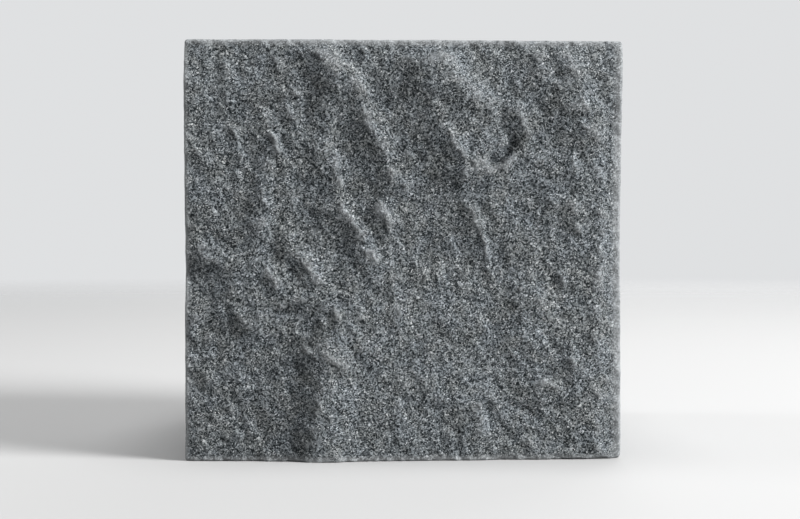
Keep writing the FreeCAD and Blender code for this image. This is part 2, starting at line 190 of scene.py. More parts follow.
CRESTS = (
    # Broad rises and grooves, all over the face.
    Crest(((-30.0, 99.0), (-28.4, 93.0), (-26.2, 87.0), (-24.6, 82.0)), 0.85, 7.0, 8.0),
    Crest(((-6.6, 96.0), (-5.6, 91.0), (-4.0, 86.0), (-2.0, 82.0)), 0.42, 6.0, 8.0),
    Crest(((8.4, 87.8), (12.4, 84.4), (16.8, 81.2)), 0.46, 8.0, 4.8),
    Crest(((-6.4, 60.0), (-4.6, 55.5), (-2.4, 51.5)), 0.46, 7.0, 6.0),
    Crest(((9.0, 62.0), (10.0, 55.0), (12.0, 48.0)), 0.39, 8.0, 6.0),
    Crest(((-3.0, 68.0), (-2.0, 56.0), (-1.0, 40.0)), 0.35, 8.0, 16.0),
    Crest(((14.0, 64.0), (14.5, 52.0), (15.0, 40.0)), -0.23, 14.0, 12.0),
    Crest(((-36.0, 55.0), (-33.6, 51.5), (-31.6, 48.0)), 0.62, 7.0, 4.8),
    Crest(((15.4, 56.0), (16.6, 51.0), (18.4, 46.0)), 0.27, 8.0, 4.5),
    Crest(((14.0, 38.0), (15.4, 33.0), (16.6, 28.0)), 0.46, 11.0, 5.0),
    Crest(((-15.5, 36.0), (-16.0, 31.0), (-17.0, 26.0)), 0.42, 11.0, 3.0),
    Crest(((-27.0, 35.5), (-25.5, 31.0), (-23.5, 25.0)), -1.31, 11.0, 11.0),
    Crest(((8.6, 34.0), (9.6, 30.0), (10.8, 26.0)), 0.31, 8.0, 4.0),
    Crest(((-12.5, 36.0), (-11.5, 29.0), (-9.5, 22.0)), 0.39, 6.0, 9.0),
    Crest(((27.0, 30.0), (29.5, 22.0), (31.0, 12.0)), 0.31, 8.0, 12.0),
    Crest(((19.0, 22.0), (19.4, 17.0), (20.0, 12.0)), 0.54, 12.0, 4.4),
    Crest(((-26.5, 34.0), (-27.5, 20.0), (-28.5, -6.0)), 0.62, 24.0, 7.0),
    # Small ones on the swell at the upper left.
    Crest(((-25.4, 96.0), (-23.8, 92.5), (-20.8, 88.6), (-17.2, 85.2), (-13.8, 82.2)), 0.46, 3.0, 5.4),
    Crest(((-31.5, 93.0), (-31.0, 88.0), (-30.0, 83.0)), 0.31, 5.5, 4.0),
    Crest(((-29.0, 89.5), (-28.2, 87.0), (-27.0, 85.0)), 0.31, 2.4, 2.2),
    Crest(((-41.5, 92.0), (-40.8, 88.5), (-39.8, 85.0), (-39.5, 82.0)), 0.35, 2.8, 2.6),
    Crest(((-49.5, 88.0), (-48.5, 86.0), (-46.0, 84.0)), 0.31, 3.0, 2.5),
    Crest(((-53.0, 88.0), (-51.0, 83.5), (-48.0, 79.5)), 0.39, 4.0, 6.0),
    Crest(((-25.5, 86.0), (-24.0, 83.5), (-22.8, 80.5)), 0.35, 3.0, 2.0),
    Crest(((-28.0, 86.0), (-27.0, 82.0), (-25.4, 77.0)), 0.35, 5.0, 2.6),
    Crest(((-27.0, 84.0), (-26.4, 79.5), (-25.4, 75.0)), 0.31, 6.0, 3.0),
    Crest(((-27.6, 82.5), (-27.0, 79.5), (-26.2, 76.0)), 0.35, 2.6, 2.6),
    Crest(((-40.8, 84.0), (-38.4, 79.0), (-35.8, 74.0)), 0.23, 4.0, 4.0),
    Crest(((-25.3, 79.5), (-24.3, 77.0), (-22.8, 73.5)), 0.31, 2.5, 2.0),
    Crest(((-40.0, 77.0), (-39.3, 74.5), (-38.0, 72.5)), 0.39, 2.0, 1.8),
    Crest(((-34.5, 78.0), (-33.0, 74.5), (-31.5, 71.0)), 0.27, 4.0, 4.0),
    Crest(((-26.8, 76.0), (-25.0, 73.5), (-23.5, 70.5)), 0.31, 2.4, 3.0),
    Crest(((-30.0, 75.6), (-29.6, 72.0), (-28.8, 69.0)), 0.31, 2.4, 2.0),
    Crest(((-30.0, 75.0), (-29.4, 72.0), (-28.3, 69.0)), 0.5, 3.0, 2.4),
    Crest(((-50.5, 77.0), (-49.0, 73.5), (-47.0, 70.5), (-44.0, 66.5)), 0.39, 3.4, 2.4),
    Crest(((-21.3, 73.0), (-20.6, 70.5), (-20.0, 67.5)), 0.35, 2.6, 3.0),
    Crest(((-37.8, 72.0), (-37.0, 69.5), (-35.7, 66.5)), 0.35, 3.0, 2.0),
    Crest(((-29.0, 73.0), (-27.6, 68.5), (-26.4, 64.0)), 0.31, 3.0, 5.0),
    Crest(((-24.4, 74.0), (-22.4, 68.0), (-20.4, 62.4)), 0.31, 3.4, 4.0),
    Crest(((-43.0, 69.0), (-42.2, 67.3), (-40.8, 66.0)), 0.31, 2.2, 1.8),
    Crest(((-31.6, 69.5), (-30.8, 67.3), (-29.3, 65.0)), 0.31, 2.6, 2.0),
    # Small ones at the top, in the middle.
    Crest(((-18.8, 97.0), (-17.0, 92.5), (-13.8, 88.4)), 0.31, 2.6, 4.2),
    Crest(((-10.4, 95.0), (-9.6, 92.5), (-8.8, 90.0)), 0.31, 2.4, 2.0),
    Crest(((-0.4, 97.0), (2.0, 91.5), (4.4, 86.5), (7.8, 82.5)), 0.46, 3.4, 6.4),
    Crest(((-14.5, 91.0), (-10.2, 84.5), (-6.8, 79.0), (-3.8, 73.5), (-2.4, 70.0)), 0.39, 5.0, 3.2),
    Crest(((-4.4, 81.0), (-2.6, 77.5), (0.0, 74.0), (2.0, 70.6)), 0.39, 5.0, 6.0),
    Crest(((5.6, 83.0), (8.8, 77.4), (11.6, 72.2), (14.4, 69.0), (19.4, 66.0)), 0.31, 2.4, 2.0),
    Crest(((-9.8, 80.0), (-8.2, 75.6), (-5.4, 71.2), (-4.0, 67.6)), 0.23, 3.0, 2.4),
    Crest(((-2.0, 82.0), (1.8, 76.0), (5.4, 70.0), (8.0, 64.0)), 0.46, 5.0, 6.5),
    Crest(((-0.6, 72.0), (1.0, 69.0), (2.2, 66.0), (3.0, 62.0)), 0.5, 6.0, 2.4),
    Crest(((-3.8, 70.6), (-2.8, 67.0), (-1.6, 62.8)), -0.23, 3.0, 3.0),
    # Small ones at the upper right.
    Crest(((36.8, 94.5), (37.0, 90.0), (38.0, 86.5)), 0.31, 3.0, 3.4),
    Crest(((30.5, 94.0), (30.2, 89.5), (31.0, 84.5), (32.0, 81.0)), 0.5, 6.5, 4.4),
    Crest(((46.8, 90.0), (46.6, 87.0), (47.0, 84.0)), 0.35, 2.4, 3.0),
    Crest(((28.5, 97.0), (30.2, 90.0), (32.4, 83.0), (34.6, 76.0)), 0.35, 4.0, 6.5),
    Crest(((35.0, 88.0), (36.1, 83.0), (37.7, 78.0)), 0.73, 6.0, 6.4),
    Crest(((23.6, 82.5), (23.8, 79.5), (24.4, 76.5), (25.6, 74.0)), 0.42, 2.2, 1.5),
    Crest(((25.6, 79.5), (26.4, 77.0), (27.4, 75.0), (29.0, 72.4)), 0.39, 2.2, 5.0),
    Crest(((18.2, 76.0), (18.4, 73.0), (19.4, 70.4)), 0.27, 2.6, 2.4),
    Crest(((26.4, 75.2), (26.0, 73.2), (24.4, 71.0)), -0.31, 1.8, 1.2),
    Crest(((26.2, 75.0), (28.6, 71.0), (32.0, 67.0)), 0.46, 3.0, 4.6),
    Crest(((25.4, 72.0), (22.6, 69.6), (18.6, 67.2)), -0.96, 2.2, 1.3),
    Crest(((21.0, 66.0), (23.6, 68.4), (27.0, 70.4)), 0.27, 2.0, 2.0),
    Crest(((37.6, 70.0), (38.6, 67.8), (40.0, 65.6)), 0.35, 2.2, 2.0),
    # Small ones at the left, halfway up.
    Crest(((-20.6, 65.5), (-18.8, 61.0), (-17.0, 57.6)), -0.23, 3.4, 3.4),
    Crest(((-28.2, 65.5), (-27.0, 62.5), (-26.0, 59.5), (-25.9, 56.0)), 0.39, 3.0, 2.2),
    Crest(((-32.8, 62.5), (-32.6, 60.5), (-32.3, 58.0)), 0.39, 2.2, 2.0),
    Crest(((-31.6, 60.0), (-31.2, 56.0), (-30.4, 52.4)), 0.35, 2.4, 2.0),
    Crest(((-33.0, 56.3), (-32.7, 54.5), (-31.8, 52.6)), 0.35, 2.0, 1.8),
    Crest(((-19.6, 56.0), (-18.6, 52.0), (-17.6, 48.0)), 0.31, 6.0, 3.0),
    Crest(((-28.6, 52.0), (-27.0, 48.4), (-23.6, 45.0), (-21.6, 42.0)), 0.42, 2.4, 2.4),
    Crest(((-47.5, 50.0), (-46.0, 46.5), (-44.5, 43.0)), 0.77, 2.6, 4.8),
    Crest(((-51.4, 48.4), (-48.8, 45.8), (-46.0, 43.2)), 0.69, 2.2, 4.6),
    Crest(((-21.8, 46.0), (-21.2, 42.0), (-20.6, 39.0)), 0.35, 5.0, 3.0),
    Crest(((-36.0, 46.4), (-33.6, 43.8), (-30.6, 41.0), (-28.6, 38.4)), 0.39, 2.4, 2.4),
    Crest(((-40.0, 40.8), (-39.0, 38.8), (-37.3, 36.8)), 0.39, 2.4, 2.2),
    Crest(((-25.5, 40.0), (-23.6, 37.0), (-22.0, 34.0)), 0.39, 5.0, 4.0),
    Crest(((-20.0, 36.5), (-18.4, 33.5), (-16.6, 30.5)), 0.39, 4.0, 4.0),
    # Small ones in the middle of the face.
    Crest(((-0.3, 64.0), (0.1, 62.0), (1.1, 60.0)), 0.39, 2.0, 1.9),
    Crest(((-15.4, 65.0), (-14.4, 61.5), (-12.6, 58.5)), 0.46, 6.0, 1.6),
    Crest(((-7.2, 59.4), (-5.4, 56.8), (-2.4, 54.6)), 0.27, 2.4, 2.2),
    Crest(((-15.6, 58.8), (-12.2, 54.4), (-8.0, 50.2)), 0.62, 4.6, 5.2),
    Crest(((-9.0, 60.0), (-6.0, 53.0), (-3.0, 46.0), (-1.0, 40.0)), 0.27, 3.0, 6.0),
    Crest(((-15.8, 58.6), (-12.6, 54.4), (-9.0, 49.4), (-7.8, 44.0), (-7.2, 39.0)), 0.31, 2.6, 3.2),
    Crest(((-8.0, 47.5), (-6.2, 45.2), (-3.4, 43.6)), 0.35, 2.4, 2.4),
    Crest(((1.0, 45.2), (3.2, 43.6), (5.6, 42.0)), 0.31, 1.8, 2.5),
    Crest(((-8.4, 49.0), (-7.4, 44.0), (-6.4, 38.0)), 0.77, 4.2, 6.2),
    Crest(((3.8, 47.0), (4.6, 43.0), (5.4, 39.0)), 0.27, 6.0, 4.5),
    Crest(((5.8, 45.0), (7.6, 43.6), (8.6, 41.8), (8.6, 39.5)), 0.31, 2.0, 1.8),
    Crest(((-12.8, 46.5), (-12.4, 42.0), (-11.8, 37.0)), -0.23, 3.0, 3.4),
    Crest(((-3.0, 36.0), (-2.2, 34.0), (-1.0, 31.8)), 0.35, 2.6, 2.2),
    # Small ones at the right, halfway up.
    Crest(((15.0, 59.5), (15.7, 56.0), (17.0, 52.0), (18.8, 47.0), (19.6, 44.6)), 0.35, 1.4, 1.5),
    Crest(((38.0, 53.2), (40.2, 51.6), (42.6, 49.6)), 0.31, 2.2, 2.0),
    Crest(((24.2, 52.0), (25.2, 48.0), (26.4, 44.0)), 0.31, 6.0, 4.0),
    Crest(((46.8, 78.0), (47.4, 64.0), (46.6, 48.0), (47.3, 32.0), (47.0, 16.0)), 0.27, 6.0, 3.2),
    Crest(((35.2, 43.0), (35.9, 41.2), (37.4, 39.6)), 0.35, 2.0, 1.8),
    # Small ones at the lower left.
    Crest(((-39.5, 33.5), (-37.0, 31.0), (-34.5, 28.0)), 0.31, 3.0, 4.0),
    Crest(((-35.3, 32.4), (-33.8, 30.4), (-31.6, 28.8)), 0.39, 2.6, 2.6),
    Crest(((-48.5, 34.0), (-47.4, 29.5), (-46.4, 25.0)), 0.31, 3.0, 4.5),
    Crest(((-45.8, 30.8), (-45.0, 28.6), (-43.6, 26.0)), 0.35, 2.4, 2.0),
    Crest(((-24.2, 26.6), (-23.0, 25.3), (-21.4, 24.2)), 0.35, 2.0, 1.8),
    Crest(((-50.0, 25.0), (-48.8, 22.6), (-47.4, 19.8)), 0.31, 2.4, 2.0),
    Crest(((-47.4, 22.0), (-46.2, 19.0), (-44.6, 16.0)), 0.42, 2.4, 3.4),
    Crest(((-39.4, 20.8), (-38.4, 18.0), (-37.0, 14.6)), 0.62, 2.4, 3.6),
    Crest(((-32.6, 17.4), (-30.4, 15.8), (-27.6, 15.0), (-25.6, 14.2)), 0.39, 3.0, 2.2),
    Crest(((-41.4, 13.4), (-40.2, 12.0), (-38.4, 10.2)), 0.39, 2.4, 2.2),
    Crest(((-45.0, 11.4), (-43.6, 9.8), (-41.8, 7.4)), 0.31, 2.2, 1.8),
    Crest(((-36.0, 10.0), (-35.2, 7.4), (-34.0, 4.0)), 0.31, 1.8, 1.8),
    Crest(((-39.0, 9.6), (-38.0, 7.0), (-37.2, 4.0)), 0.31, 2.2, 1.6),
    Crest(((-48.0, 8.0), (-46.8, 4.5), (-46.0, 1.0)), 0.31, 3.0, 4.5),
    Crest(((-38.8, 7.5), (-37.6, 4.0), (-36.8, 0.0)), 0.31, 3.0, 4.0),
    Crest(((-21.6, 9.0), (-22.4, 4.0), (-22.8, -2.0)), 0.39, 2.6, 4.0),
    # Small ones at the foot, in the middle.
    Crest(((3.4, 29.4), (4.4, 26.8), (6.4, 24.6), (9.6, 23.2)), 0.35, 2.2, 2.0),
    Crest(((-9.0, 27.5), (-7.6, 24.0), (-6.0, 20.0)), 0.31, 5.0, 5.0),
    Crest(((-15.6, 23.6), (-14.6, 21.8), (-12.6, 20.0)), 0.35, 2.6, 2.2),
    Crest(((-3.0, 15.6), (-2.2, 13.6), (-1.2, 11.6)), 0.35, 2.2, 2.0),
    Crest(((-17.4, 11.0), (-16.4, 8.6), (-15.2, 5.0)), 0.35, 2.4, 2.2),
    Crest(((13.6, 13.0), (14.6, 8.5), (15.6, 3.0)), 0.31, 5.0, 5.0),
    Crest(((9.2, 7.4), (10.0, 5.0), (11.0, 2.0), (11.6, -2.0)), 0.35, 2.0, 2.0),
    # Small ones at the lower right.
    Crest(((28.8, 28.4), (29.4, 26.2), (30.4, 23.8)), 0.39, 2.4, 2.0),
    Crest(((23.4, 30.0), (24.2, 26.0), (25.0, 21.0)), 0.42, 6.0, 5.4),
    Crest(((36.6, 24.2), (37.9, 22.6), (39.2, 20.8)), 0.27, 2.0, 1.8),
    Crest(((31.4, 19.4), (33.2, 17.4), (36.4, 15.8)), 0.39, 2.4, 2.2),
    Crest(((30.0, 19.0), (31.6, 15.5), (33.4, 12.0)), 0.58, 6.0, 5.6),
    Crest(((20.8, 14.4), (21.8, 12.8), (22.6, 10.6)), 0.27, 2.0, 1.8),
    Crest(((30.4, 13.2), (31.8, 11.6), (33.2, 9.6)), 0.31, 2.2, 2.0),
    Crest(((16.2, 14.0), (17.0, 11.6), (17.4, 8.0), (18.0, 5.0)), 0.35, 2.4, 2.0),
    Crest(((24.0, 5.0), (24.0, 3.0), (23.6, 0.0)), 0.35, 2.6, 2.4),
    Crest(((26.4, 6.0), (28.4, 4.0), (30.6, 1.4), (31.6, -1.0)), 0.35, 2.2, 2.0),
)


@dataclass(frozen=True)
class Grit:
    """One layer of fine relief: noise of a given wave length, drawn out along a direction.

    Attributes:
        rise: Height of the layer, in millimetres.
        wave: Wave length across the direction, in millimetres.
        stretch: How many times longer the waves are along the direction.
        lean: The direction's lean from upright towards the right foot, in radians.
        octaves: How many finer layers it carries.
        seed: Moves the pattern.
        finer: How many times finer each of those layers is than the one before.
        fall: How fast they lose height, as a power of `finer`.
    """

    rise: float
    wave: float
    stretch: float = 1.0
    lean: float = 0.0
    octaves: int = 2
    seed: float = 0.0
    finer: float = 2.0
    fall: float = 0.9

    def over(self, across: np.ndarray, up: np.ndarray) -> np.ndarray:
        """Works the layer out over a grid.

        Args:
            across: The grid's places across, in millimetres.
            up: The grid's places up, in millimetres.

        Returns:
            Heights in millimetres, one row for each place across.
        """
        x, z = across[:, None], up[None, :]
        u = (x * cos(self.lean) + z * sin(self.lean)) / self.wave
        v = (x * sin(self.lean) - z * cos(self.lean)) / (self.wave * self.stretch)
        heights = [
            noise.fractal((a, b, self.seed), self.fall, self.finer, self.octaves)
            for a, b in zip(u.ravel().tolist(), v.ravel().tolist())
        ]
        return self.rise * np.array(heights).reshape(u.shape)


@dataclass
class SplitRelief:
    """The height map of the split face, read from the frame and roughened. Sizes are in millimetres.

    Attributes:
        pitch: Distance between samples.
        margin: How far inside the worn arris the frame is read.
        stand_off: How far in front of the block the rays start that read it.
        smoothing: Width of the bell that takes the frame's facets away.
        crests: The crests and grooves that the frame leaves out.
        warps: Uneven shifts of the relief, across and up.
        layers: The broken grain, from its long waves to its short ones.
        overhang: How far the crests lean towards the upper right, as shares of what they stand proud.
        overhang_reach: Width of the bell that tells what leans.
        overhang_limit: The most that a crest or a pit counts for its lean.
        proud_reach: Width of the bell that tells what stands proud, for the painted highlight on crests
            and the painted shade in hollows.
        top_calm: How near to the top arris the relief settles.
        top_share: How much of it settles there.
        top_reach: Width of the bell that gives the line that the top arris settles to.
        across: The samples' places across.
        up: The samples' places up.
        heights: How far each sample stands proud of the block's front, one row for each place across.
        proud: How far each sample stands proud of what lies round it.
    """

    pitch: float = 0.25
    margin: float = 1.2
    stand_off: float = 10.0
    smoothing: float = 0.4
    crests: tuple[Crest, ...] = CRESTS
    warps: tuple[Grit, Grit] = (
        Grit(rise=0.55, wave=3.0, octaves=2, seed=11.0),
        Grit(rise=0.55, wave=3.0, octaves=2, seed=23.0),
    )
    layers: tuple[Grit, ...] = (
        Grit(rise=0.32, wave=3.6, stretch=1.7, lean=radians(27), octaves=2, seed=3.0),
        Grit(rise=0.23, wave=1.8, stretch=1.3, lean=radians(27), octaves=1, seed=7.0),
        Grit(rise=0.14, wave=1.0, octaves=1, seed=9.0),
    )
    overhang: Point = (0.95, 0.5)
    overhang_reach: float = 2.2
    overhang_limit: float = 0.5
    proud_reach: float = 1.8
    top_calm: float = 4.0
    top_share: float = 0.65
    top_reach: float = 14.0
    across: np.ndarray = field(init=False)
    up: np.ndarray = field(init=False)
    heights: np.ndarray = field(init=False)
    proud: np.ndarray = field(init=False)

    def __post_init__(self) -> None:
        """Reads the frame's split face and adds the fine relief to it."""
        self.across = np.arange(LEFT, RIGHT + self.pitch, self.pitch)
        self.up = np.arange(FOOT, TOP + self.pitch, self.pitch)
        self.heights = self.read_frame()
        self.add_crests()
        self.heights = self.at(
            self.heights,
            self.across[:, None] + self.warps[0].over(self.across, self.up),
            self.up[None, :] + self.warps[1].over(self.across, self.up),
        )
        self.settle_top()
        for layer in self.layers:
            self.heights += layer.over(self.across, self.up)
        leaning = self.heights - blurred(self.heights, self.overhang_reach / self.pitch)
        leaning = np.clip(leaning, -self.overhang_limit, self.overhang_limit)
        self.heights = self.at(
            self.heights,
            self.across[:, None] - self.overhang[0] * leaning,
            self.up[None, :] - self.overhang[1] * leaning,
        )
        self.proud = self.heights - blurred(self.heights, self.proud_reach / self.pitch)

    def read_frame(self) -> np.ndarray:
        """Measures how far the frame's split face lies behind the block's front.

        Returns:
            Heights in millimetres, below 0 behind the front, one row for each place across.
        """
        tree = BVHTree.FromObject(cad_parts[NODE], bpy.context.evaluated_depsgraph_get())
        start_y = CAD_LOW.y - self.stand_off * MM
        along_y = Vector((0.0, 1.0, 0.0))
        xs = np.clip(self.across, LEFT + self.margin, RIGHT - self.margin) * MM
        zs = np.clip(self.up, FOOT + self.margin, TOP - self.margin) * MM
        depths = [[tree.ray_cast(Vector((x, start_y, z)), along_y)[0].y for z in zs] for x in xs]
        return -blurred((np.array(depths) - CAD_LOW.y) / MM, self.smoothing / self.pitch)

    def add_crests(self) -> None:
        """Raises the crests, each over the samples that it can reach."""
        for crest in self.crests:
            spread = max(crest.left, crest.right)
            xs, zs = zip(*crest.line)
            columns = samples_near(self.across, xs, spread)
            rows = samples_near(self.up, zs, spread)
            patch = np.ix_(columns, rows)
            x, z = np.meshgrid(self.across[columns], self.up[rows], indexing="ij")
            self.heights[patch] += crest.height(x, z)

    def settle_top(self) -> None:
        """Evens the relief out towards the top arris, which runs nearly straight."""
        arris = self.heights[:, self.up <= TOP - self.margin][:, -1:]
        line = blurred(arris, self.top_reach / self.pitch)
        share = self.top_share * smooth_share(1.0 - (TOP - self.up) / self.top_calm)
        self.heights += share[None, :] * (line - arris)

    def at(self, grid: np.ndarray, x: np.ndarray, z: np.ndarray) -> np.ndarray:
        """Reads a grid of the split face anywhere, between its samples.

        Args:
            grid: One value for each sample, as `heights` has.
            x: Places across, in millimetres.
            z: Places up, in millimetres.

        Returns:
            The grid's values at the places.
        """
        last_column, last_row = len(self.across) - 1 - TOUCHING, len(self.up) - 1 - TOUCHING
        column = np.clip((x - self.across[0]) / self.pitch, 0, last_column)
        row = np.clip((z - self.up[0]) / self.pitch, 0, last_row)
        i, j = column.astype(int), row.astype(int)
        u, v = column - i, row - j
        left = grid[i, j] * (1 - v) + grid[i, j + 1] * v
        right = grid[i + 1, j] * (1 - v) + grid[i + 1, j + 1] * v
        return left * (1 - u) + right * u


@dataclass(frozen=True)
class Chip:
    """A flake broken from the split face's outline. Sizes are in millimetres.

    Attributes:
        place: Its middle (across, up) on the outline.
        reach: How far it runs along the outline.
        depth: How much it adds to the arris's rounding.
    """

    place: Point
    reach: float
    depth: float


@dataclass
class Block:
    """The sett's one piece of stone. Sizes are in millimetres.

    Attributes:
        cells: Coarse cells along each side of the block.
        split_cuts: Cuts in each coarse cell of the split face and of the rim beside it.
        rim_cuts: Cuts in each coarse cell beside a sawn arris.
        rim_reach: How near to an arris a coarse cell's middle lies to be beside it, in cells.
        rim_width: Width of the strip along the sawn arrises that is cut once more.
        arris: Rounding of the arrises.
        foot_arris: Rounding where the split face meets the underside.
        arris_play: How much of the rounding varies along an arris.
        play_wave: Wave length of that play.
        play_octaves: How many finer waves the play carries.
        play_finer: How many times finer each of them is than the one before.
        play_fall: How fast they lose height, as a power of `play_finer`.
        blend_depth: How deep the sawn sides follow the split face's relief.
        wear_and_highlight_width: Width of the pale strip along the arrises, partly crushed grains and
            partly painted highlight.
        split_wear_and_highlight: How many times wider that strip is on the split face: at its left, the
            front, its foot, its right, the back and its top. The wider strips at the foot, the right
            and the top are painted highlight.
        crease: Angle past which an edge between two small faces stays sharp, in radians.
        relief: The height map of the split face.
        chips: Flakes broken from the split face's outline.
    """

    cells: int = 20
    split_cuts: int = 12
    rim_cuts: int = 4
    rim_reach: float = 0.6
    rim_width: float = 1.1
    arris: float = 0.5
    foot_arris: float = 0.45
    arris_play: float = 0.6
    play_wave: float = 3.2
    play_octaves: int = 4
    play_finer: float = 2.0
    play_fall: float = 0.7
    blend_depth: float = 10.0
    wear_and_highlight_width: float = 1.3
    split_wear_and_highlight: tuple[float, ...] = (1.0, 1.0, 1.3, 2.2, 1.0, 1.5)
    crease: float = radians(60)
    relief: SplitRelief = field(default_factory=SplitRelief)
    chips: tuple[Chip, ...] = (
        Chip((LEFT, FOOT + 7.0), 2.4, 1.0),
        Chip((LEFT, FOOT), 2.4, 0.3),
        Chip((LEFT, FOOT + 51.5), 3.0, 0.5),
        Chip((LEFT, TOP), 2.0, 0.3),
        Chip((RIGHT, TOP), 2.4, 0.35),
        Chip((RIGHT, FOOT), 3.0, 0.4),
        Chip((RIGHT - 5.0, FOOT), 4.5, 0.7),
        Chip((RIGHT - 12.0, FOOT), 5.0, 0.6),
        Chip((RIGHT, FOOT + 62.0), 3.0, 0.4),
    )

    def build(self) -> bpy.types.Object:
        """Cuts the block from a cube and gives it its shape.

        Returns:
            The finished stone, with its place in its mesh.
        """
        bpy.ops.object.select_all(action="DESELECT")
        size = CAD_HIGH - CAD_LOW
        middle = (CAD_HIGH + CAD_LOW) / 2
        bpy.ops.mesh.primitive_cube_add(size=1.0, location=middle, scale=size)
        bpy.ops.object.transform_apply(location=True, rotation=True, scale=True)
        stone = bpy.context.object
        stone.name = stone.data.name = "granite_block"
        self.cut(stone)
        self.shape(stone)
        return stone

    def cut(self, stone: bpy.types.Object) -> None:
        """Cuts the faces finely where the stone has fine shape.

        Args:
            stone: The plain cube.
        """
        low, high = CAD_LOW, CAD_HIGH
        cell = max(high - low) / self.cells
        fine = cell / (self.rim_cuts + 1)

        def planes_within(centre: Vector, width: float) -> int:
            """Counts the planes of the box that a face's centre is nearer to than a width."""
            return sum(gap < width for gap in (*(centre - low), *(high - centre)))

        def beside_sawn_arris(centre: Vector) -> bool:
            """Tells whether a coarse cell touches an arris away from the split face."""
            return centre.y > low.y + cell and planes_within(centre, self.rim_reach * cell) >= 2

        def on_sawn_arris(centre: Vector) -> bool:
            """Tells whether a small cell lies on a sawn arris."""
            return centre.y > low.y + cell + fine and planes_within(centre, self.rim_width * MM) >= 2

        self.subdivide(stone, lambda centre: True, self.cells - 1)
        self.subdivide(stone, lambda centre: centre.y < low.y + cell, self.split_cuts)
        self.subdivide(stone, beside_sawn_arris, self.rim_cuts)
        self.subdivide(stone, on_sawn_arris, 1)

    def subdivide(self, stone: bpy.types.Object, test: Callable[[Vector], bool], cuts: int) -> None:
        """Subdivides the faces whose centres pass a test.

        Args:
            stone: The block.
            test: Takes a face's centre and says whether the face is cut.
            cuts: How many cuts each of its edges gets.
        """
        mesh = stone.data
        mesh.vertices.foreach_set("select", [False] * len(mesh.vertices))
        mesh.edges.foreach_set("select", [False] * len(mesh.edges))
        mesh.polygons.foreach_set("select", [test(face.center) for face in mesh.polygons])
        bpy.ops.object.mode_set(mode="EDIT")
        bpy.ops.mesh.select_mode(type="FACE")
        bpy.ops.mesh.subdivide(number_cuts=cuts, ngon=False)
        bpy.ops.object.mode_set(mode="OBJECT")

    def shape(self, stone: bpy.types.Object) -> None:
        """Rounds the arrises, lays the relief on and marks the finishes and the wear, with painted
        highlight along the lit arrises.

        Args:
            stone: The block, finely cut.
        """
        mesh = stone.data
        places = np.zeros(len(mesh.vertices) * 3)
        mesh.vertices.foreach_get("co", places)
        places = places.reshape(-1, 3) / MM
        low, high = np.array(CAD_LOW) / MM, np.array(CAD_HIGH) / MM
        frontal = [face.normal.y < FRONTAL for face in mesh.polygons]
        finishes = [Surface.SPLIT if split else Surface.SAWN for split in frontal]
        mesh.polygons.foreach_set("material_index", [finish.value for finish in finishes])

        # Pale strip along the arrises: partly crushed grains, partly painted highlight, made wider at
        # the foot, right and top arrises where the light falls.
        on_split = (places[:, 1] - low[1] < TOUCHING)[:, None]
        spread = np.where(on_split, np.array(self.split_wear_and_highlight), 1.0)
        gaps = np.sort(np.hstack([places - low, high - places]) / spread, axis=1)
        wear_and_highlight = mesh.attributes.new("wear_and_highlight", "FLOAT", "POINT")
        wear_and_highlight.data.foreach_set("value", smooth_share(1.0 - gaps[:, 1] / self.wear_and_highlight_width))

        radius = self.rounding(places)[:, None]
        inner = np.clip(places, low + radius, high - radius)
        outward = places - inner
        reach = np.linalg.norm(outward, axis=1)[:, None]
        rounded = inner + outward * (radius / reach)
        share = smooth_share(1.0 - (places[:, 1] - low[1]) / self.blend_depth)
        relief = self.relief
        rounded[:, 1] -= share * relief.at(relief.heights, rounded[:, 0], rounded[:, 2])
        rounded[:, 1] = np.maximum(rounded[:, 1], low[1])
        mesh.vertices.foreach_set("co", (rounded * MM).ravel())
        mesh.update()
        # How far each point stands proud, which the material turns into painted highlight on crests and
        # painted shade in hollows.
        proud = mesh.attributes.new("proud", "FLOAT", "POINT")
        proud.data.foreach_set("value", share * relief.at(relief.proud, rounded[:, 0], rounded[:, 2]))

        bpy.ops.object.select_all(action="DESELECT")
        stone.select_set(True)
        bpy.context.view_layer.objects.active = stone
        bpy.ops.object.shade_smooth_by_angle(angle=self.crease)

    def rounding(self, places: np.ndarray) -> np.ndarray:
        """Works out the rounding of the arrises near each point: worn unevenly, and wider at the chips.

        Args:
            places: Points of the block, in millimetres.

        Returns:
            A radius in millimetres for each point.
        """
        waves = (self.play_fall, self.play_finer, self.play_octaves)
        play = np.array([noise.fractal(Vector(place) / self.play_wave, *waves) for place in places])
        behind = smooth_share((places[:, 1] - FRONT) / self.blend_depth)
        above = smooth_share((places[:, 2] - FOOT) / self.blend_depth)
        plain = self.foot_arris + (self.arris - self.foot_arris) * np.maximum(behind, above)
        radius = plain * (1.0 + self.arris_play * np.clip(play, -1.0, 1.0))
        for chip in self.chips:
            gap = np.hypot(places[:, 0] - chip.place[0], places[:, 2] - chip.place[1]) / chip.reach
            radius += chip.depth * smooth_share(1.0 - gap) * (1.0 - behind)
        return radius


